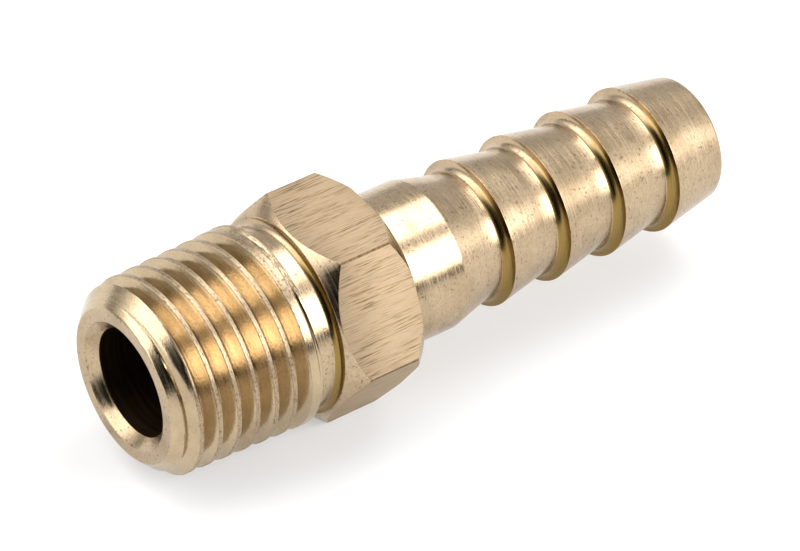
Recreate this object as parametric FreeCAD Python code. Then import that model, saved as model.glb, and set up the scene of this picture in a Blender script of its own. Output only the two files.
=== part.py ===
import FreeCAD, Part
import math
import os

# Hose barb tail, turned as one piece from hexagon brass bar: a 1/4 inch taper pipe thread with a
# relief neck behind it, a 14 mm spanner hexagon, a plain collar and a barbed tail for 3/8 inch hose.
# Lengths are in millimetres and angles in degrees. The bore runs along X, with the thread's end
# face at X = 0 and the tail pointing along +X. The part lies on one flat of its hexagon, so the
# surface under it is Z = -across_flats / 2.

# Bore, with a countersunk mouth in the thread's end face
bore_d = 7.5
mouth_d = 8.9
mouth_angle = 90.0

# Taper pipe thread, right-hand: 18 threads to the inch on a taper of 1 in 16
thread_d = 13.26
thread_length = 10.63
thread_taper = 1 / 16
thread_pitch = 25.4 / 18
flank_angle = 60.0
crest_flat = 0.26
end_face_d = 10.66
lead_chamfer_angle = 45.0
groove_phase = -22.0
groove_clearance = 0.18
runout_sweep = 200.0
helix_step = 20

# Relief neck behind the thread, with a fillet up to the hexagon's shoulder
neck_d = 12.6
neck_length = 1.77
neck_fillet = 0.45
shoulder_step = 0.10

# Spanner hexagon, its corners chamfered at both ends
across_flats = 14.0
hexagon_length = 6.1
shoulder_chamfer_angle = 45.0
back_face_d = 14.3
back_chamfer_angle = 40.0

# Collar and barbed tail
collar_d = 10.57
collar_length = 4.93
barb_d = 10.4
root_d = 8.96
barb_count = 4
barb_pitch = 4.667
first_cone_length = 4.07
barb_fillet = 0.60
tip_length = 4.46
tip_d = 8.83
tip_round = 0.30

# Every fillet and round is turned in this many short cones
round_steps = 3

shoulder_x = thread_length + neck_length
back_face_x = shoulder_x + hexagon_length
collar_end_x = back_face_x + collar_length
barb_x = [collar_end_x + first_cone_length + i * barb_pitch for i in range(barb_count)]
tip_x = barb_x[-1] + tip_length
corner_r = across_flats / 2 / math.cos(math.radians(30))
groove_end = groove_phase + 360 * (thread_length - groove_clearance) / thread_pitch


def arc(centre, radius, start_angle, end_angle):
    """The points of an outline's round stretch, from one angle to the other about its centre."""
    on_arc = []
    for i in range(round_steps + 1):
        a = math.radians(start_angle + (end_angle - start_angle) * i / round_steps)
        on_arc.append((centre[0] + radius * math.cos(a), centre[1] + radius * math.sin(a)))
    return on_arc


def turned(outline):
    """The solid swept out by an outline of (x, r) points turned about the bore's axis."""
    corners = [FreeCAD.Vector(x, 0, r) for x, r in outline + outline[:1]]
    face = Part.Face(Part.makePolygon(corners))
    return face.revolve(FreeCAD.Vector(0, 0, 0), FreeCAD.Vector(1, 0, 0), 360)


def slope(angle):
    return math.tan(math.radians(angle))


def crest_r(x):
    """Radius of the cone that the thread's crests lie on."""
    return thread_d / 2 + x * thread_taper / 2


def thread_blank():
    """The threaded end before its groove is cut, with the neck up to the hexagon's shoulder."""
    end_r = end_face_d / 2
    lead_slope = slope(lead_chamfer_angle)
    lead_x = (crest_r(0) - end_r) / (lead_slope - thread_taper / 2)
    neck_r = neck_d / 2
    outline = [(shoulder_x, 0), (0, 0), (0, end_r), (lead_x, crest_r(lead_x)),
               (thread_length, crest_r(thread_length)), (thread_length, neck_r)]
    return turned(outline + arc((shoulder_x - neck_fillet, neck_r + neck_fillet), neck_fillet, -90, 0))


def groove_depth():
    return (thread_pitch - crest_flat) / 2 / slope(flank_angle / 2)


def groove_point(angle, along, out):
    """A place beside the groove's crest-cone point: angles count on through the turns."""
    x = thread_pitch * (angle - groove_phase) / 360
    left = max(0, angle - (groove_end - runout_sweep)) / runout_sweep
    lift = (groove_depth() + crest_flat) * left * left * (3 - 2 * left)
    r = crest_r(x) + out + lift
    a = math.radians(angle)
    return FreeCAD.Vector(x + along, r * math.cos(a), r * math.sin(a))


def groove_cutter(start, end):
    """One stretch of the groove: its V section carried along the helix at the groove's root."""
    depth = groove_depth()
    spill = crest_flat / 2
    half_top = (depth + spill) * slope(flank_angle / 2)
    section = [(0, -depth), (half_top, spill), (-half_top, spill)]
    steps = max(2, round((end - start) / helix_step))
    path = Part.BSplineCurve()
    path.interpolate([groove_point(start + (end - start) * i / steps, 0, -depth)
                      for i in range(steps + 1)])
    sweep = Part.BRepOffsetAPI.MakePipeShell(Part.Wire([path.toShape()]))
    sweep.setBiNormalMode(FreeCAD.Vector(1, 0, 0))
    sweep.add(Part.makePolygon([groove_point(start, *corner) for corner in section + section[:1]]))
    sweep.build()
    sweep.makeSolid()
    return sweep.shape()


def thread():
    """The groove is cut turn by turn, from where it runs out to before the end face."""
    solid = thread_blank()
    end = groove_end
    while end > groove_phase:
        start = max(end - 360, groove_phase - 360)
        solid = solid.cut(groove_cutter(start, end))
        end = start
    return solid


def hexagon():
    """The spanner hexagon: a hexagonal bar with its corners turned off at both ends."""
    shoulder_r = neck_d / 2 + neck_fillet + shoulder_step
    back_r = back_face_d / 2
    front_x = shoulder_x + (corner_r - shoulder_r) / slope(shoulder_chamfer_angle)
    rear_x = back_face_x - (corner_r - back_r) / slope(back_chamfer_angle)
    envelope = turned([(shoulder_x, 0), (shoulder_x, shoulder_r), (front_x, corner_r),
                       (rear_x, corner_r), (back_face_x, back_r), (back_face_x, 0)])
    corners = []
    for i in range(7):
        a = math.radians(60 * i)
        corners.append(FreeCAD.Vector(shoulder_x, corner_r * math.cos(a), corner_r * math.sin(a)))
    bar = Part.Face(Part.makePolygon(corners)).extrude(FreeCAD.Vector(hexagon_length, 0, 0))
    return envelope.common(bar)


def cone_to_ledge(start, ledge_x, ledge_r):
    """The outline of a cone down to the root, with the fillet and the square ledge at its foot."""
    root_r = root_d / 2
    lean = math.atan2(start[1] - root_r, ledge_x - start[0])
    centre_x = ledge_x - barb_fillet
    centre_r = root_r + barb_fillet * math.tan(lean) + barb_fillet / math.cos(lean)
    return arc((centre_x, centre_r), barb_fillet, -90 - math.degrees(lean), 0) + [(ledge_x, ledge_r)]


def tail():
    """The plain collar and the barbs, each a cone that narrows towards the tip."""
    outline = [(back_face_x, 0), (back_face_x, collar_d / 2), (collar_end_x, collar_d / 2)]
    for x in barb_x:
        outline += cone_to_ledge(outline[-1], x, barb_d / 2)
    outline += arc((tip_x - tip_round, tip_d / 2 - tip_round), tip_round, 90, 0)
    return turned(outline + [(tip_x, 0)])


def bore():
    """The through bore with its countersunk mouth, as the metal that is drilled out."""
    mouth_depth = (mouth_d - bore_d) / 2 / slope(mouth_angle / 2)
    return turned([(0, 0), (0, mouth_d / 2), (mouth_depth, bore_d / 2), (tip_x, bore_d / 2), (tip_x, 0)])


def hose_barb_tail():
    solid = thread().fuse([hexagon(), tail()]).removeSplitter()
    return solid.cut(bore())


os.makedirs("parts", exist_ok=True)
hose_barb_tail().exportStep("parts/hose_barb_tail.step")
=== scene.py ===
import math

import bpy
import numpy as np
from mathutils import Euler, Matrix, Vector, noise


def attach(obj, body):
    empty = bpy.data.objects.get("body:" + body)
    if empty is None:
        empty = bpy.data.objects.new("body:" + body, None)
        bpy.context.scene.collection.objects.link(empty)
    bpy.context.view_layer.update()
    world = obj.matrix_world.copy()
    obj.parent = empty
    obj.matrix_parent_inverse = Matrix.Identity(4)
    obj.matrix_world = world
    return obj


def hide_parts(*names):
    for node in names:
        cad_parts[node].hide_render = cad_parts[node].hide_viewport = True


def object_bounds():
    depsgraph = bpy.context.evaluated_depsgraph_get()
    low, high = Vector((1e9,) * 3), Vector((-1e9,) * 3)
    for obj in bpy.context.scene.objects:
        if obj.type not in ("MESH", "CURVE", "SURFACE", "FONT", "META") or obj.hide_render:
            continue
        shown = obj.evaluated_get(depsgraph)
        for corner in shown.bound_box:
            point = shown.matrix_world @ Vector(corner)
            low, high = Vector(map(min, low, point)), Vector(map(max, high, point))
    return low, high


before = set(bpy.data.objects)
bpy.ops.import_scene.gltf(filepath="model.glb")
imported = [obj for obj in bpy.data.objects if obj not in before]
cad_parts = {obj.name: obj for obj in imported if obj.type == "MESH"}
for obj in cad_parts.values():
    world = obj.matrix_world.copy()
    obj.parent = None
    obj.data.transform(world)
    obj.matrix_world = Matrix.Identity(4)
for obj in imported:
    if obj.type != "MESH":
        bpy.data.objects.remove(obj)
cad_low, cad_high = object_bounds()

bl_info = {
    "name": "Hose barb tail",
    "version": (1, 0, 0),
    "blender": (4, 5, 0),
    "location": "3D View > Sidebar > Hose barb tail",
    "description": "Models a turned brass hose barb tail with its finishes, floor and light",
    "category": "Object",
}

MM = 0.001
PART = "hose_barb_tail"
FLOOR_Z = cad_low.z

# How many faces go round the part
COLUMNS = 180

# Points closer than this become one, in metres
WELD = 1e-6

# Edges that turn by more than this stay sharp, and are broken where they are bevelled
SHARP = math.radians(17)

# Angles round the part count from +Y towards +Z, in degrees. The outline is drawn at 90 degrees.
DRAWN_AT = 90

# The end face's outer rim is rounded back by this much
RIM_EASE = 0.04 * MM

# A face whose normal leans along the bore by less than this runs along it
LENGTHWISE = 0.02


def size(name, mm, description):
    return bpy.props.FloatProperty(
        name=name, description=description, default=mm * MM, unit="LENGTH", precision=5)


def linear(hex_colour):
    """An sRGB hex colour as linear red, green and blue."""
    parts = [int(hex_colour[i:i + 2], 16) / 255 for i in (1, 3, 5)]
    return [c / 12.92 if c <= 0.04045 else ((c + 0.055) / 1.055) ** 2.4 for c in parts]


def colour(name, hex_colour, description):
    return bpy.props.FloatVectorProperty(
        name=name, description=description, default=linear(hex_colour), subtype="COLOR", min=0, max=1)


class HoseBarbSizes(bpy.types.PropertyGroup):
    bore: size("Bore", 7.5, "Diameter of the through bore")
    mouth: size("Mouth", 8.9, "Outer diameter of the countersink in the thread's end face")
    end_face: size("End face", 10.66, "Outer diameter of the flat ring at the thread's end")
    thread: size("Thread", 13.26, "Diameter over the thread's crests at its end face")
    thread_pitch: size("Thread pitch", 25.4 / 18, "From one crest to the next")
    thread_length: size("Thread length", 10.63, "From the end face to the neck")
    crest_flat: size("Crest flat", 0.26, "Width of the flat along each crest")
    neck: size("Neck", 12.6, "Diameter of the relief neck")
    neck_length: size("Neck length", 1.77, "From the thread to the hexagon's shoulder")
    neck_fillet: size("Neck fillet", 0.45, "Radius at the foot of the shoulder")
    shoulder: size("Shoulder", 13.7, "Diameter at which the shoulder's chamfer starts")
    across_flats: size("Across flats", 14.0, "Spanner size of the hexagon")
    hexagon_length: size("Hexagon length", 6.1, "Along the bore")
    back_face: size("Back face", 14.3, "Diameter of the hexagon's flat back face")
    collar: size("Collar", 10.57, "Diameter of the plain collar")
    collar_length: size("Collar length", 4.93, "From the hexagon to the first cone")
    barb: size("Barb", 10.4, "Diameter over the barbs' rims")
    root: size("Root", 8.96, "Diameter at the foot of each barb")
    first_cone: size("First cone", 4.07, "From the collar to the first barb's ledge")
    barb_pitch: size("Barb pitch", 4.667, "From one ledge to the next")
    barb_fillet: size("Barb fillet", 0.6, "Radius at the foot of each ledge")
    tip: size("Tip", 8.83, "Diameter at the end of the tail")
    tip_length: size("Tip length", 4.46, "From the last ledge to the end of the tail")
    tip_round: size("Tip round", 0.3, "Radius round the end of the tail")
    edge_round: size("Edge round", 0.05, "Radius that a turned edge is broken to")


class HoseBarbColours(bpy.types.PropertyGroup):
    brass: colour("Brass", "#BCA688", "Freshly cut brass")
    olive: colour("Olive brass", "#9A8568", "Brass that has begun to tarnish")
    # Painted shade: the golden brown that fillets and ledges darken to towards -Y
    painted_fillet_shade: colour("Painted fillet shade", "#8F7643", "Golden brown painted as shade on the fillets and ledges")
    drawn: colour("Drawn brass", "#9F8C76", "The bar's drawn skin, browner than cut brass")
    flank: colour("Flank brass", "#BBA788", "Brass on the thread's flanks, faintly yellow with oil")
    torn: colour("Torn brass", "#AE9A7F", "Brass torn rough along the thread's crests")
    pit: colour("Pit", "#4A3B25", "Dirt in pits and scratches")
    # Painted shade inside the bore: this darker colour stands in for its shade. The bar's corners take it
    # as dull brass.
    dull_and_bore_shade: colour("Dull brass", "#7C664E", "Dull brass along the bar's corners, and painted shade inside the bore")
    floor: colour("Floor", "#BEBEBE", "The floor and its backdrop")
    tent: colour("Light tent", "#FFFFFF", "White cloth of the light tent")
    gap: colour("Tent gap", "#0B1017", "Dark room behind the tent's openings")


def sizes():
    return bpy.context.scene.hose_barb_sizes


def colours():
    return bpy.context.scene.hose_barb_colours


def crest_radius(x):
    """Radius over the thread's crests, on a taper of 1 in 16."""
    return sizes().thread / 2 + x / 32


def corner_radius():
    """Radius to the hexagon's corners, were they sharp."""
    return sizes().across_flats / math.sqrt(3)


def rise(value, start, end):
    """How far a value has come on its way from start to end, from 0 to 1."""
    return min(1, max(0, (value - start) / (end - start)))


def bell(value, width):
    return math.exp(-(value / width) ** 2)


# Drawing and turning outlines

def eased(corners):
    """Outline points from (x, radius, round) corners, with an arc of that radius at each."""
    small, long_line, ring = 0.1 * MM, 1 * MM, 0.02 * MM
    points = []
    for i, (x, r, ease) in enumerate(corners):
        here = Vector((x, r))
        if ease == 0 or i in (0, len(corners) - 1):
            points.append(here)
            continue
        behind = Vector(corners[i - 1][:2]) - here
        ahead = Vector(corners[i + 1][:2]) - here
        back, on = behind.normalized(), ahead.normalized()
        half = back.angle(on) / 2
        centre = here + (back + on).normalized() * ease / math.sin(half)
        first, last = here + back * ease / math.tan(half), here + on * ease / math.tan(half)
        steps = max(2, round(math.degrees(math.pi - 2 * half) / 13)) if ease > small else 3
        # A ring close to each end of the arc keeps its smooth shading off the long cones beside it.
        if behind.length > long_line:
            points.append(first + back * ring)
        for k in range(steps + 1):
            chord = first.lerp(last, k / steps) - centre
            points.append(centre + chord.normalized() * ease)
        if ahead.length > long_line:
            points.append(last + on * ring)
    return points


def draw_outline(name, points):
    """One corner, extruded from point to point, as an open outline above the bore's axis."""
    bpy.ops.object.select_all(action="DESELECT")
    bpy.ops.mesh.primitive_plane_add(size=MM, location=(points[0][0], 0, points[0][1]))
    piece = bpy.context.object
    piece.name = piece.data.name = name
    bpy.ops.object.transform_apply(location=True, rotation=True, scale=True)
    bpy.ops.object.mode_set(mode="EDIT")
    bpy.ops.mesh.select_all(action="SELECT")
    bpy.ops.mesh.merge(type="CENTER")
    for a, b in zip(points, points[1:]):
        bpy.ops.mesh.extrude_region_move(
            TRANSFORM_OT_translate={"value": (b[0] - a[0], 0, b[1] - a[1])})
    bpy.ops.object.mode_set(mode="OBJECT")
    return piece


def weld(piece):
    """Merges points that lie together, and makes every face point outwards."""
    select_only(piece)
    bpy.ops.object.mode_set(mode="EDIT")
    bpy.ops.mesh.select_all(action="SELECT")
    bpy.ops.mesh.remove_doubles(threshold=WELD)
    bpy.ops.mesh.normals_make_consistent(inside=False)
    bpy.ops.object.mode_set(mode="OBJECT")


def select_only(*pieces):
    bpy.ops.object.select_all(action="DESELECT")
    for piece in pieces:
        piece.select_set(True)
    bpy.context.view_layer.objects.active = pieces[0]


def points_of(piece):
    flat = np.empty(len(piece.data.vertices) * 3)
    piece.data.vertices.foreach_get("co", flat)
    return flat.reshape(-1, 3)


def move_points(piece, points):
    piece.data.vertices.foreach_set("co", points.astype(np.float32).ravel())
    piece.data.update()


class HOSEBARB_OT_thread(bpy.types.Operator):
    """Model the threaded end's skin"""
    bl_idname = "hosebarb.thread"
    bl_label = "Threaded end"

    groove_phase = -22.0
    groove_clearance = 0.18 * MM
    runout_sweep = 200.0
    flank_slope = math.tan(math.radians(60))
    turns = 10

    # The groove's root is filled by the first depth at its middle and by the second beside it.
    root_fill = 0.035 * MM
    root_side, side_fill = 0.022 * MM, 0.010 * MM

    # The flank bellies out by this much, and is drawn through points at these distances.
    belly = 0.018 * MM
    flank_at = [mm * MM for mm in (0.055, 0.12, 0.19, 0.26, 0.33, 0.40, 0.46, 0.51, 0.545)]

    # The crest's rounded edge and slightly domed land: (past the flank's top, below the crest)
    crest = ((-0.012 * MM, 0.014 * MM), (0.004 * MM, 0.002 * MM), (0.028 * MM, 0.0),
             (0.075 * MM, 0.004 * MM))

    # Near the end face the groove is shallower by this share, fading over this length.
    first_loss, first_length = 0.08, 1.6 * MM

    # As it runs out, the groove keeps at least this share of its width.
    narrowest = 0.45

    # The lead chamfer cuts the thread off inside this length, and blends into it within this height.
    lead_length, lead_blend = 3 * MM, 0.03 * MM

    def thread_form(self):
        """Half of one groove as (distance from its root, depth), from the root to the crest's middle."""
        s = sizes()
        half_groove = (s.thread_pitch - s.crest_flat) / 2
        depth = half_groove * self.flank_slope
        half = [(0, depth - self.root_fill),
                (self.root_side, depth - self.root_side * self.flank_slope - self.side_fill)]
        for d in self.flank_at:
            out = self.belly * math.sin(math.pi * d / half_groove)
            half.append((d, depth - d * self.flank_slope - out))
        return half + [(half_groove + past, low) for past, low in self.crest]

    def execute(self, context):
        s = sizes()
        half = self.thread_form()
        pitch = s.thread_pitch
        first_root = pitch * (DRAWN_AT - self.groove_phase) / 360 - 2 * pitch
        outline = []
        for turn in range(self.turns):
            root = first_root + turn * pitch
            if turn:
                outline += [(root - d, s.thread / 2 - low) for d, low in reversed(half[1:])]
            outline += [(root + d, s.thread / 2 - low) for d, low in half]
            outline.append((root + pitch / 2, s.thread / 2 - self.crest[-1][1]))
        piece = draw_outline("threaded_end", outline)
        select_only(piece)
        screw = piece.modifiers.new("helix", "SCREW")
        screw.axis = "X"
        screw.angle = math.tau
        screw.screw_offset = pitch
        screw.steps = screw.render_steps = COLUMNS
        screw.use_smooth_shade = False
        bpy.ops.object.modifier_apply(modifier=screw.name)
        groove_edge = half[-len(self.crest)][0]
        self.finish_form(piece, groove_edge)
        weld(piece)
        return {"FINISHED"}

    def finish_form(self, piece, groove_edge):
        """Tapers the thread, lets its groove run out, and cuts it off at the end face and the neck.
        These are point moves in code, because no modelling operator follows a helix that fades."""
        s = sizes()
        pitch, length = s.thread_pitch, s.thread_length - s.edge_round
        end_angle = self.groove_phase + 360 * (s.thread_length - self.groove_clearance) / pitch
        points = points_of(piece)
        for i, (x, y, z) in enumerate(points):
            angle = math.degrees(math.atan2(z, y))
            turns = x / pitch - (angle - self.groove_phase) / 360
            beside = (turns - round(turns)) * pitch
            along = angle + 360 * round(turns)
            fade = rise(along, end_angle - self.runout_sweep, end_angle)
            left = 1 - fade * fade * (3 - 2 * fade)
            shallower = 1 - self.first_loss * rise(x, self.first_length, 0)
            low = (s.thread / 2 - math.hypot(y, z)) * left * shallower
            width = groove_edge * max(left, self.narrowest)
            if abs(beside) <= groove_edge:
                aside = beside * width / groove_edge
            else:
                spread = (pitch / 2 - width) / (pitch / 2 - groove_edge)
                aside = math.copysign(width + (abs(beside) - groove_edge) * spread, beside)
            x += aside - beside
            x = min(max(x, 0), length)
            r = crest_radius(x) - low
            if 0 < x < length:
                r += self.torn(along - end_angle, aside, width, x, angle)
            if x < self.lead_length:
                r = self.below_lead(x, r)
            if x == length:
                r = crest_radius(length)
            if x == 0:
                r = s.end_face / 2 - RIM_EASE
            turned = math.radians(angle)
            points[i] = (x, r * math.cos(turned), r * math.sin(turned))
        move_points(piece, points)

    def below_lead(self, x, r):
        """A radius kept below the lead chamfer, which goes down to the end face's rounded rim."""
        lead = sizes().end_face / 2 + x - RIM_EASE * rise(x, 0.06 * MM, 0) ** 2
        gap = (lead - r) / self.lead_blend
        if gap >= 1:
            return r
        return lead if gap < -1 else r - self.lead_blend * (1 - gap) ** 2 / 4

    def torn(self, past, aside, width, x, angle):
        """How far the metal is torn up or dragged down where the groove runs out. past counts the
        degrees from the groove's end, where the die's last tooth leaves a burr and a fading scratch."""
        scratch = rise(past, -6, 2) * rise(past, 62, 27) * bell(aside + 0.17 * MM, 0.07 * MM)
        burr = bell(past - 2, 2.5) * bell(aside + 0.10 * MM, 0.14 * MM)
        share = rise(past, -190, -130) * rise(past, 4, -2) * rise(abs(aside), 2 * width, 4 / 3 * width)
        place = Vector((x / (0.16 * MM), angle / 2.2, 1.7))
        rough = share * noise.fractal(place, 0.8, 2.1, 3) if share else 0
        return 0.035 * MM * rough + 0.05 * MM * burr - 0.10 * MM * scratch


class HOSEBARB_OT_turned_body(bpy.types.Operator):
    """Turn the neck, the hexagon's blank, the collar, the barbs and the bore from one outline"""
    bl_idname = "hosebarb.turned_body"
    bl_label = "Turned body"

    # The blank is this much smaller than the hexagon's corners, which blunts them to a dull line.
    corner_loss = 0.045 * MM
    back_chamfer = math.radians(40)
    barbs = 4

    # Each cone is hollow before its fillet: (back from the ledge, above the root, radius)
    hollow = (1.1 * MM, 0.06 * MM, 7 * MM)

    def execute(self, context):
        s = sizes()
        ease = s.edge_round
        shoulder_x = s.thread_length + s.neck_length
        back_x = shoulder_x + s.hexagon_length
        corner = corner_radius() - self.corner_loss
        front_x = shoulder_x + corner - s.shoulder / 2
        rear_x = back_x - (corner - s.back_face / 2) / math.tan(self.back_chamfer)
        collar_x = back_x + s.collar_length
        start = s.thread_length - ease
        corners = [
            (start, crest_radius(start), 0),
            (s.thread_length, crest_radius(s.thread_length), ease * 0.98),
            (s.thread_length, s.neck / 2, 0.12 * MM), (shoulder_x, s.neck / 2, s.neck_fillet),
            (shoulder_x, s.shoulder / 2, 0.15 * MM), (front_x, corner, 0), (rear_x, corner, 0),
            (back_x, s.back_face / 2, 0), (back_x, s.collar / 2, 0.15 * MM),
            (collar_x, s.collar / 2, 0.3 * MM)]
        back, lift, radius = self.hollow
        for barb in range(self.barbs):
            ledge_x = collar_x + s.first_cone + barb * s.barb_pitch
            corners += [(ledge_x - back, s.root / 2 + lift, radius),
                        (ledge_x, s.root / 2, s.barb_fillet), (ledge_x, s.barb / 2, 0.015 * MM)]
        end_x = ledge_x + s.tip_length
        mouth_x = (s.mouth - s.bore) / 2
        corners += [
            (end_x, s.tip / 2, s.tip_round), (end_x, s.bore / 2, ease),
            (mouth_x, s.bore / 2, 0.03 * MM), (0, s.mouth / 2, 0.04 * MM),
            (0, s.end_face / 2 - RIM_EASE, 0)]
        piece = draw_outline("turned_body", eased(corners))
        bpy.ops.object.mode_set(mode="EDIT")
        bpy.ops.mesh.select_all(action="SELECT")
        bpy.ops.mesh.spin(steps=COLUMNS, angle=math.tau, center=(0, 0, 0), axis=(1, 0, 0))
        bpy.ops.object.mode_set(mode="OBJECT")
        weld(piece)
        return {"FINISHED"}


class HOSEBARB_OT_hexagon(bpy.types.Operator):
    """Cut the six spanner flats on the turned blank, and break their edges"""
    bl_idname = "hosebarb.hexagon"
    bl_label = "Hexagon"

    overlap = 0.001 * MM
    cut_tolerance = 0.0005 * MM
    bevel = 0.055 * MM

    def execute(self, context):
        s = sizes()
        piece = bpy.data.objects["turned_body"]
        low_x = s.thread_length + s.neck_length - self.overlap
        high_x = low_x + s.hexagon_length + 2 * self.overlap
        select_only(piece)
        for flat in range(6):
            self.select_faces(piece, lambda c: low_x < c.x < high_x and c.yz.length > s.collar / 2)
            turn = math.radians(30 + 60 * flat)
            out = Vector((0, math.cos(turn), math.sin(turn)))
            bpy.ops.object.mode_set(mode="EDIT")
            bpy.ops.mesh.bisect(plane_co=out * s.across_flats / 2, plane_no=out, use_fill=True,
                                clear_outer=True, threshold=self.cut_tolerance)
            bpy.ops.object.mode_set(mode="OBJECT")
        self.break_edges(piece, low_x, high_x)
        return {"FINISHED"}

    def select_faces(self, piece, wanted):
        """Selects the faces whose centres are wanted, and nothing else."""
        bpy.ops.object.mode_set(mode="EDIT")
        bpy.ops.mesh.select_mode(type="FACE")
        bpy.ops.mesh.select_all(action="DESELECT")
        bpy.ops.object.mode_set(mode="OBJECT")
        for face in piece.data.polygons:
            face.select = bool(wanted(face.center))

    def break_edges(self, piece, low_x, high_x):
        """Bevels the edges round the flats, the shoulder and the back face, but not the long
        corners between the flats, which the smaller blank has blunted."""
        mesh = piece.data
        normals = {}
        for face in mesh.polygons:
            for key in face.edge_keys:
                normals.setdefault(key, []).append(face.normal.copy())
        bpy.ops.object.mode_set(mode="EDIT")
        bpy.ops.mesh.select_mode(type="EDGE")
        bpy.ops.mesh.select_all(action="DESELECT")
        bpy.ops.object.mode_set(mode="OBJECT")
        fillet_top = sizes().neck / 2 + sizes().neck_fillet + 0.02 * MM
        long_corner = corner_radius() - 0.06 * MM
        for edge in mesh.edges:
            ends = [mesh.vertices[v].co for v in edge.vertices]
            sides = normals.get(edge.key, [])
            if (len(sides) == 2 and sides[0].angle(sides[1]) > SHARP
                    and all(low_x < p.x < high_x and p.yz.length > fillet_top for p in ends)
                    and not all(p.yz.length > long_corner for p in ends)):
                edge.select = True
        bpy.ops.object.mode_set(mode="EDIT")
        bpy.ops.mesh.bevel(offset=self.bevel, offset_type="OFFSET", segments=2, profile=0.6,
                           clamp_overlap=True)
        bpy.ops.mesh.select_mode(type="VERT")
        bpy.ops.object.mode_set(mode="OBJECT")


class HOSEBARB_OT_join(bpy.types.Operator):
    """Join the skins into one closed body, attach it to the root body's empty and hide the CAD part"""
    bl_idname = "hosebarb.join"
    bl_label = "Join the body"

    def execute(self, context):
        body, thread = bpy.data.objects["turned_body"], bpy.data.objects["threaded_end"]
        select_only(body, thread)
        bpy.ops.object.join()
        body.name = body.data.name = "hose_barb_tail_body"
        weld(body)
        select_only(body)
        bpy.ops.object.shade_smooth_by_angle(angle=SHARP)
        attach(body, "root")
        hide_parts(PART)
        return {"FINISHED"}


# Nodes

def feed(tree, socket, value):
    """Gives an input its value, or links it to another node's output."""
    if isinstance(value, bpy.types.NodeSocket):
        tree.links.new(value, socket)
    else:
        socket.default_value = value


def add(tree, kind, settings=()):
    """Adds a node. settings gives its own properties by name, and its inputs by name or number."""
    node = tree.nodes.new(kind)
    for key, value in dict(settings).items():
        if isinstance(key, str) and hasattr(node, key):
            setattr(node, key, value)
        else:
            feed(tree, node.inputs[key], value)
    return node


def empty_material(name):
    material = bpy.data.materials.new(name)
    material.use_nodes = True
    material.node_tree.nodes.clear()
    return material, material.node_tree


def object_place(tree):
    return add(tree, "ShaderNodeTexCoord").outputs["Object"]


def calc(tree, operation, *values):
    """What a Math node makes of its numbers or outputs."""
    return add(tree, "ShaderNodeMath", {"operation": operation, **dict(enumerate(values))}).outputs[0]


def ranged(tree, value, low, high, to_low, to_high):
    """A value from low to high as one from to_low to to_high, and held there past both ends."""
    return add(tree, "ShaderNodeMapRange",
               {0: value, 1: low, 2: high, 3: to_low, 4: to_high}).outputs[0]


def mixed(tree, factor, a, b):
    """Colour a where the factor is 0 and b where it is 1. Either may be a colour or an output."""
    a, b = (v if isinstance(v, bpy.types.NodeSocket) else (*v, 1) for v in (a, b))
    return add(tree, "ShaderNodeMix", {"data_type": "RGBA", 0: factor, 6: a, 7: b}).outputs[2]


def grain(tree, scale_mm, detail=2.0, offset=0.0):
    """Noise whose grains are about scale_mm (x, y, z) millimetres long."""
    mapping = add(tree, "ShaderNodeMapping", {
        "Vector": object_place(tree), "Location": (offset, offset, offset),
        "Scale": [1 / (mm * MM) for mm in scale_mm]})
    return add(tree, "ShaderNodeTexNoise", {
        "Vector": mapping.outputs[0], "Scale": 1.0, "Detail": detail, "Roughness": 0.6}).outputs[0]


# Finishes

def new_metal(name, base):
    """A metal of one colour. Its default index of refraction leaves the mirror colour to the base."""
    material, tree = empty_material(name)
    shader = add(tree, "ShaderNodeBsdfPrincipled", {"Metallic": 1.0, "Base Color": (*base, 1)})
    add(tree, "ShaderNodeOutputMaterial", {"Surface": shader.outputs[0]})
    return material, tree, shader


def dress(tree, shader, base, roughness, height, strength, depth_mm):
    """Gives a metal its colour, its roughness and a bump of that depth."""
    bump = add(tree, "ShaderNodeBump", {"Strength": strength, "Distance": depth_mm * MM, "Height": height})
    feed(tree, shader.inputs["Base Color"], base)
    feed(tree, shader.inputs["Roughness"], roughness)
    feed(tree, shader.inputs["Normal"], bump.outputs[0])


def turned_brass(name, painted_fillet_shade):
    """Brass turned with a single-point tool: fine rings, which pull highlights out along the bore.
    Fillets and ledges are darkened towards -Y to a golden brown. This is painted shade, and it turns what
    they mirror golden."""
    c = colours()
    material, tree, shader = new_metal(name, c.brass)
    # Tool marks of 0.05 mm would not show in the render, so they are drawn 0.12 mm apart.
    rings = grain(tree, (0.12, 4.0, 4.0))
    waves = grain(tree, (0.7, 1.6, 1.6), offset=4.0)
    tarnish = grain(tree, (2.6, 2.6, 2.6), offset=9.0)
    mottle = grain(tree, (0.22, 0.16, 0.16), detail=1.0, offset=12.0)
    pits = grain(tree, (0.16, 0.22, 0.22), detail=0.0, offset=2.0)
    base = mixed(tree, ranged(tree, tarnish, 0.45, 0.75, 0.0, 0.8), c.brass, c.olive)
    base = mixed(tree, ranged(tree, mottle, 0.4, 0.68, 0.0, 0.45), base, c.olive)
    base = mixed(tree, ranged(tree, pits, 0.70, 0.78, 0.0, 0.55), base, c.pit)
    if painted_fillet_shade:
        # Painted shade: the base darkens to the fillet shade colour towards -Y
        across = add(tree, "ShaderNodeSeparateXYZ", {0: object_place(tree)}).outputs[1]
        base = mixed(tree, ranged(tree, across, 0.5 * MM, -2.5 * MM, 0.0, 1.0), base, c.painted_fillet_shade)
    height = calc(tree, "MULTIPLY_ADD", waves, 1.2, rings)
    dress(tree, shader, base, ranged(tree, rings, 0.3, 0.7, 0.16, 0.32), height, 0.35, 0.012)
    return material


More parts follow.
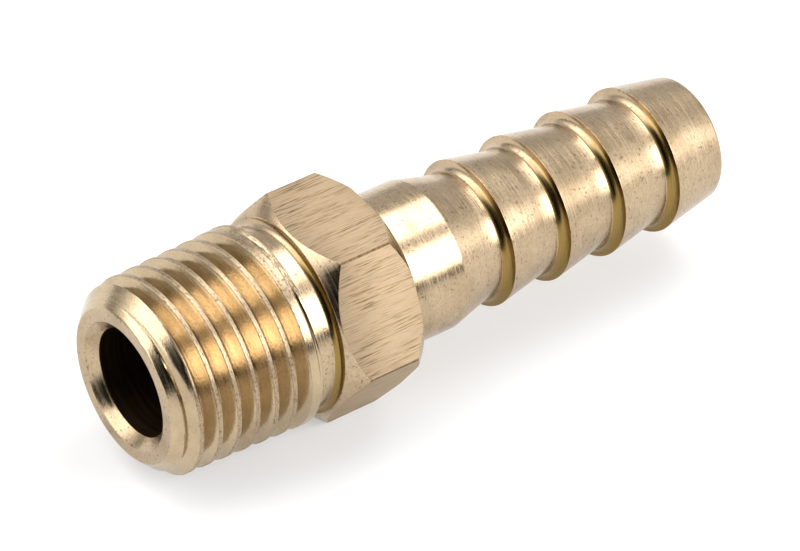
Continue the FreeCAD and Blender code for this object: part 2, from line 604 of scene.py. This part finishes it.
def threaded_brass(name, fresh, smoothest, roughest, specked):
    """Brass cut with a die: rings along the flanks, which blur highlights a little, and torn specks,
    which break them up on the crests."""
    c = colours()
    material, tree, shader = new_metal(name, fresh)
    rings = grain(tree, (0.09, 3.0, 3.0), offset=1.0)
    specks = grain(tree, (0.10, 0.20, 0.20), detail=1.0, offset=6.0)
    tarnish = grain(tree, (1.6, 3.0, 3.0), offset=3.0)
    base = mixed(tree, ranged(tree, tarnish, 0.45, 0.75, 0.0, 0.6), fresh, c.olive)
    base = mixed(tree, ranged(tree, specks, 0.50, 0.70, 0.0, specked), base, c.pit)
    height = calc(tree, "MULTIPLY_ADD", specks, 1.0, rings)
    dress(tree, shader, base, ranged(tree, rings, 0.3, 0.7, smoothest, roughest), height, 0.4, 0.012)
    return material


def drawn_brass():
    """Brass as the hexagon bar was drawn: streaks along the bore, which spread highlights across them."""
    c = colours()
    material, tree, shader = new_metal("drawn brass", c.drawn)
    # Draw lines of 0.03 mm would not show in the render, so they are drawn 0.1 mm wide.
    streaks = grain(tree, (3.0, 0.08, 0.08), detail=3.0)
    scratches = grain(tree, (1.8, 0.08, 0.08), detail=2.0, offset=5.0)
    mottle = grain(tree, (0.4, 0.14, 0.14), detail=1.0, offset=12.0)
    patches = grain(tree, (2.5, 0.8, 0.8), offset=8.0)
    scratched = calc(tree, "MULTIPLY", ranged(tree, scratches, 0.50, 0.66, 0.0, 0.85),
                     ranged(tree, patches, 0.35, 0.65, 0.2, 1.0))
    base = mixed(tree, ranged(tree, streaks, 0.35, 0.65, 0.0, 1.0), c.drawn, c.olive)
    base = mixed(tree, ranged(tree, mottle, 0.4, 0.68, 0.0, 0.5), base, c.olive)
    base = mixed(tree, scratched, base, c.pit)
    dress(tree, shader, base, 0.50, streaks, 0.45, 0.02)
    round_bore = add(tree, "ShaderNodeTangent", {"direction_type": "RADIAL", "axis": "X"})
    feed(tree, shader.inputs["Anisotropic"], 0.75)
    feed(tree, shader.inputs["Tangent"], round_bore.outputs[0])
    return material


def dull_brass_with_bore_shade():
    """Brass as drilled: dull, with coarse rings, and darkened inside the bore as painted shade. The bar's
    blunted long corners take the same dull colour, and show as brown lines."""
    c = colours()
    material, tree, shader = new_metal("dull brass with painted bore shade", c.dull_and_bore_shade)
    # Painted shade in the bore: its darker colour, mixed with the pit colour in rings
    rings = grain(tree, (0.25, 5.0, 5.0), offset=7.0)
    base = mixed(tree, ranged(tree, rings, 0.35, 0.65, 0.0, 0.7), c.dull_and_bore_shade, c.pit)
    dress(tree, shader, base, 0.35, rings, 0.5, 0.02)
    return material


# The finishes by their numbers on the body
TURNED, THREADED, DRAWN, DULL_AND_BORE_SHADE, TORN, PAINTED_FILLET_SHADE = range(6)


class HOSEBARB_OT_finishes(bpy.types.Operator):
    """Give each surface of the body the finish of the cut that made it, with painted shade in the bore and
    on the fillets and ledges
    """
    bl_idname = "hosebarb.finishes"
    bl_label = "Brass finishes"

    # Behind the last groove the crest is smooth between these angles, over this length.
    smooth_from, smooth_to, smooth_length = 123, 300, 0.9 * MM

    def execute(self, context):
        c = colours()
        mesh = bpy.data.objects["hose_barb_tail_body"].data
        mesh.materials.clear()
        finishes = {
            TURNED: turned_brass("turned brass", False),
            THREADED: threaded_brass("threaded brass", c.flank, 0.14, 0.26, 0.15),
            DRAWN: drawn_brass(),
            DULL_AND_BORE_SHADE: dull_brass_with_bore_shade(),
            TORN: threaded_brass("torn crest brass", c.torn, 0.28, 0.44, 0.7),
            PAINTED_FILLET_SHADE: turned_brass("turned brass with painted fillet shade", True),
        }
        for number in sorted(finishes):
            mesh.materials.append(finishes[number])
        for face in mesh.polygons:
            face.material_index = self.finish_of(face)
        return {"FINISHED"}

    def finish_of(self, face):
        s = sizes()
        x, radius = face.center.x, face.center.yz.length
        shoulder_x = s.thread_length + s.neck_length
        back_x = shoulder_x + s.hexagon_length
        if 0.02 * MM < x < s.thread_length - s.edge_round and radius > s.mouth / 2 + 0.05 * MM:
            return TORN if self.on_torn_crest(face, x, radius) else THREADED
        if shoulder_x < x < back_x and self.on_flat(face):
            return DRAWN
        if abs(face.normal.x) < LENGTHWISE and abs(radius - corner_radius()) < 0.1 * MM:
            return DULL_AND_BORE_SHADE
        # Painted shade: the bore gets the darker dull colour
        if radius < s.bore / 2 + 0.01 * MM and x > (s.mouth - s.bore) / 2 - 0.02 * MM:
            return DULL_AND_BORE_SHADE
        # Painted shade goes on the shoulder's fillet and on the ledges' sides that face the thread
        faces_thread = face.normal.x < -0.12 and x > s.thread_length
        if faces_thread and (shoulder_x - s.neck_fillet <= x <= shoulder_x or x > back_x):
            return PAINTED_FILLET_SHADE
        return TURNED

    def on_torn_crest(self, face, x, radius):
        angle = math.degrees(math.atan2(face.center.z, face.center.y)) % 360
        smooth = (x > sizes().thread_length - self.smooth_length
                  and self.smooth_from < angle < self.smooth_to)
        return crest_radius(x) - radius < 0.05 * MM and face.normal.x < 0.25 and not smooth

    def on_flat(self, face):
        turn = math.degrees(math.atan2(face.normal.z, face.normal.y)) % 60
        return abs(face.normal.x) < LENGTHWISE and abs(turn - 30) < 0.5 and face.area > 1 * MM * MM


class HOSEBARB_OT_stage(bpy.types.Operator):
    """Lay the floor, pitch the light tent over it and set up the camera"""
    bl_idname = "hosebarb.stage"
    bl_label = "Floor, tent and camera"

    # Radius of the floor and the tent in metres, and the spot below the part's middle
    reach = 1.5
    middle = (0.02, 0, FLOOR_Z)

    # What the floor's own glow adds to its lit paint to make white
    floor_glow = 0.46

    # How brightly the cloth glows: (degrees, level) stops about the bore's axis, from +Y over the top
    wall = ((0, 0.75), (60, 0.68), (95, 0.7), (104, 1.1), (117, 1.1), (127, 0.7), (180, 0.8))
    camera_side = ((0, 0.2), (10, 0.4), (20, 1.2), (29, 2.0), (38, 3.6), (82, 3.2), (95, 0.0),
                   (177, 0.0), (180, 0.5))

    # An opening in the wall, and the lit panels on it: (stops, start and end along the bore)
    opening = ((164, 0.0), (167, 1.0), (176, 1.0), (179, 0.0)), -0.5, 0.60
    panels = (
        (((52, 0.0), (58, 5.0), (98, 5.0), (104, 0.0)), 0.34, 0.65),
        (((119, 0.0), (125, 5.0), (136, 7.5), (150, 7.5), (162, 5.0), (165.5, 0.0)), 0.34, 0.70),
        (((0, 0.0), (100, 0.1), (118, 0.15), (130, 1.3), (154, 1.4), (167, 0.45), (180, 0.45)),
         0.62, 0.92))

    # A colour ramp holds no more than 1, so it holds levels as this share of themselves.
    brightest = 8.0

    def execute(self, context):
        self.floor()
        self.tent()
        self.world()
        self.camera()
        context.scene.view_settings.view_transform = "Standard"
        return {"FINISHED"}

    def floor(self):
        bpy.ops.object.select_all(action="DESELECT")
        bpy.ops.mesh.primitive_circle_add(vertices=96, radius=self.reach, fill_type="NGON",
                                          location=self.middle)
        floor = bpy.context.object
        floor.name = "floor"
        material, tree = empty_material("pale floor")
        # The paint keeps the shadow. What the camera and the metal see is lifted to white.
        paint = add(tree, "ShaderNodeBsdfDiffuse", {"Color": (*colours().floor, 1)})
        path = add(tree, "ShaderNodeLightPath").outputs
        seen = calc(tree, "MAXIMUM", path["Is Camera Ray"], path["Is Glossy Ray"])
        seen = calc(tree, "MAXIMUM", seen, path["Is Transmission Ray"])
        glow = add(tree, "ShaderNodeEmission",
                   {"Strength": calc(tree, "MULTIPLY", seen, self.floor_glow)})
        both = add(tree, "ShaderNodeAddShader", {0: paint.outputs[0], 1: glow.outputs[0]})
        add(tree, "ShaderNodeOutputMaterial", {"Surface": both.outputs[0]})
        floor.data.materials.append(material)

    def tent(self):
        """A dome of white cloth with lit panels, and an opening on the camera's side.
        The camera itself doesn't see it, so it hides nothing in any view."""
        bpy.ops.object.select_all(action="DESELECT")
        bpy.ops.mesh.primitive_uv_sphere_add(segments=96, ring_count=48, radius=self.reach,
                                             location=self.middle)
        tent = bpy.context.object
        tent.name = "light_tent"
        bpy.ops.object.mode_set(mode="EDIT")
        bpy.ops.mesh.select_all(action="SELECT")
        bpy.ops.mesh.bisect(plane_co=(0, 0, FLOOR_Z), plane_no=(0, 0, 1), clear_inner=True)
        bpy.ops.object.mode_set(mode="OBJECT")
        tent.visible_camera = False
        material, tree = empty_material("light tent cloth")
        level = self.cloth_level(tree)
        tone = mixed(tree, ranged(tree, level, 0.0, 0.2, 0.0, 1.0), colours().gap, colours().tent)
        glow = add(tree, "ShaderNodeEmission",
                   {"Color": tone, "Strength": calc(tree, "MAXIMUM", level, 0.5)})
        add(tree, "ShaderNodeOutputMaterial", {"Surface": glow.outputs[0]})
        tent.data.materials.append(material)

    def cloth_level(self, tree):
        """How brightly the cloth glows in each direction from the tent's middle."""
        way = add(tree, "ShaderNodeVectorMath", {"operation": "NORMALIZE", 0: object_place(tree)})
        along, across, up = add(tree, "ShaderNodeSeparateXYZ", {0: way.outputs[0]}).outputs
        # Turn about the bore's axis, from 0 at +Y over 0.5 at the top to 1 at -Y.
        turn = calc(tree, "DIVIDE", calc(tree, "ARCTAN2", up, across), math.pi)
        stops, start, end = self.opening
        opened = calc(tree, "MULTIPLY", self.banded(tree, turn, stops),
                      self.between(tree, along, start, end))
        level = self.blended(tree, opened, self.banded(tree, turn, self.wall), 0.0)
        for stops, start, end in self.panels:
            level = calc(tree, "MULTIPLY_ADD", self.banded(tree, turn, stops),
                         self.between(tree, along, start, end), level)
        near = self.banded(tree, turn, self.camera_side)
        level = self.blended(tree, ranged(tree, along, 0.12, -0.05, 0.0, 1.0), level, near)
        return self.blended(tree, ranged(tree, along, 0.93, 0.98, 0.0, 1.0), level, 0.0)

    def banded(self, tree, turn, stops):
        """The level at each turn, from (degrees, level) stops."""
        ramp = add(tree, "ShaderNodeValToRGB", {"Fac": turn})
        band = ramp.color_ramp
        while len(band.elements) > 1:
            band.elements.remove(band.elements[-1])
        for i, (degrees, level) in enumerate(stops):
            stop = band.elements[0] if i == 0 else band.elements.new(degrees / 180)
            stop.position = degrees / 180
            stop.color = (*[level / self.brightest] * 3, 1)
        return calc(tree, "MULTIPLY", ramp.outputs[0], self.brightest)

    def between(self, tree, along, start, end):
        """1 from one end to the other along the bore, and 0 past them, with soft ends."""
        soft = 0.03
        return calc(tree, "MULTIPLY", ranged(tree, along, start - soft, start + soft, 0.0, 1.0),
                    ranged(tree, along, end - soft, end + soft, 1.0, 0.0))

    def blended(self, tree, factor, a, b):
        """Level a where the factor is 0, and b where it is 1."""
        return add(tree, "ShaderNodeMix", {0: factor, 2: a, 3: b}).outputs[0]

    def world(self):
        world = bpy.data.worlds.new("white room")
        bpy.context.scene.world = world
        world.use_nodes = True
        world.node_tree.nodes["Background"].inputs[0].default_value = (1, 1, 1, 1)

    def camera(self):
        """The camera stands in front of the thread's end and above it, and looks down at 42 degrees."""
        data = bpy.data.cameras.new("camera")
        data.lens = 200.145
        data.clip_start, data.clip_end = 0.01, 10
        camera = bpy.data.objects.new("camera", data)
        bpy.context.scene.collection.objects.link(camera)
        camera.location = (-119.310 * MM, -165.657 * MM, 194.711 * MM)
        camera.rotation_euler = Euler([math.radians(a) for a in (47.8974, -4.1303, -36.7487)])
        bpy.context.scene.camera = camera


class HOSEBARB_PT_panel(bpy.types.Panel):
    """The steps that make the part, in order"""
    bl_idname = "HOSEBARB_PT_panel"
    bl_label = "Hose barb tail"
    bl_space_type = "VIEW_3D"
    bl_region_type = "UI"
    bl_category = "Hose barb tail"

    def draw(self, context):
        for step in STEPS:
            self.layout.operator(step.bl_idname)
        for group in (context.scene.hose_barb_sizes, context.scene.hose_barb_colours):
            for name in group.bl_rna.properties.keys():
                if name not in ("rna_type", "name"):
                    self.layout.prop(group, name)


STEPS = (HOSEBARB_OT_thread, HOSEBARB_OT_turned_body, HOSEBARB_OT_hexagon, HOSEBARB_OT_join,
         HOSEBARB_OT_finishes, HOSEBARB_OT_stage)
CLASSES = (HoseBarbSizes, HoseBarbColours, *STEPS, HOSEBARB_PT_panel)


def register():
    for kind in CLASSES:
        bpy.utils.register_class(kind)
    bpy.types.Scene.hose_barb_sizes = bpy.props.PointerProperty(type=HoseBarbSizes)
    bpy.types.Scene.hose_barb_colours = bpy.props.PointerProperty(type=HoseBarbColours)


def unregister():
    del bpy.types.Scene.hose_barb_colours
    del bpy.types.Scene.hose_barb_sizes
    for kind in reversed(CLASSES):
        bpy.utils.unregister_class(kind)


def main():
    register()
    bpy.ops.hosebarb.thread()
    bpy.ops.hosebarb.turned_body()
    bpy.ops.hosebarb.hexagon()
    bpy.ops.hosebarb.join()
    bpy.ops.hosebarb.finishes()
    bpy.ops.hosebarb.stage()


if __name__ == "__main__":
    main()
